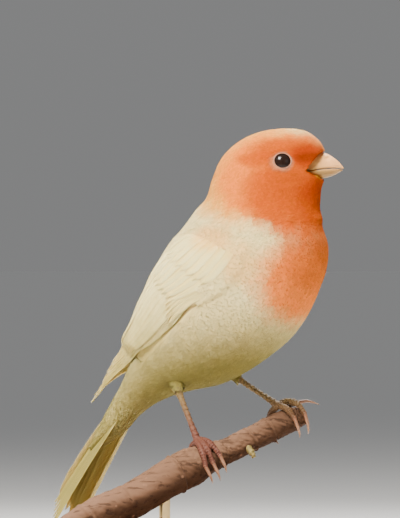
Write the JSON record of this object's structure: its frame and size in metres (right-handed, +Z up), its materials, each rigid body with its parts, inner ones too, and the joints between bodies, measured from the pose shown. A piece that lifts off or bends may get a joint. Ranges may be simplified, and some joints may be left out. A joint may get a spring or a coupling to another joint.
{
  "type": "canary model on a branch perch",
  "caption": "Life-size still model of a perched cream and orange canary gripping a short cut branch, held by a rod on a round display base.",
  "frame": {"origin": "middle of the display base's underside, on the surface it stands on", "axes": "+Z up; +X the way the head looks, seen by a viewer who stands at -Y; +Y away from that viewer. The body is turned 28 degrees from +X towards -Y and the head 4 degrees"},
  "size_m": [0.096, 0.096, 0.1369],
  "materials": {
    "plumage": "soft matt feathers, cream with an orange mask and breast patch",
    "bill": "satin horn, pale pinkish cream",
    "eye": "wet gloss, very dark brown",
    "leg_skin": "scaled skin, pinkish brown, satin",
    "claw": "satin horn, pale",
    "bark": "rough bark, pinkish brown",
    "stand_wood": "oiled hardwood, satin",
    "stand_metal": "brushed, lightly aged"
  },
  "bodies": {
    "root": {"head": "plumage", "neck": "plumage", "torso": "plumage", "upper_bill": "bill", "lower_bill": "bill", "eye_right": "eye", "eye_left": "eye", "wing_right": "plumage", "wing_left": "plumage", "tail": "plumage", "thigh_right": "plumage", "thigh_left": "plumage", "leg_right": "leg_skin", "leg_left": "leg_skin", "claw_right_outer": "claw", "claw_right_middle": "claw", "claw_right_inner": "claw", "claw_right_back": "claw", "claw_left_inner": "claw", "claw_left_middle": "claw", "claw_left_outer": "claw", "claw_left_back": "claw", "perch": "bark", "stand_base": "stand_wood", "stand_rod": "stand_metal"}
  },
  "joints": []
}
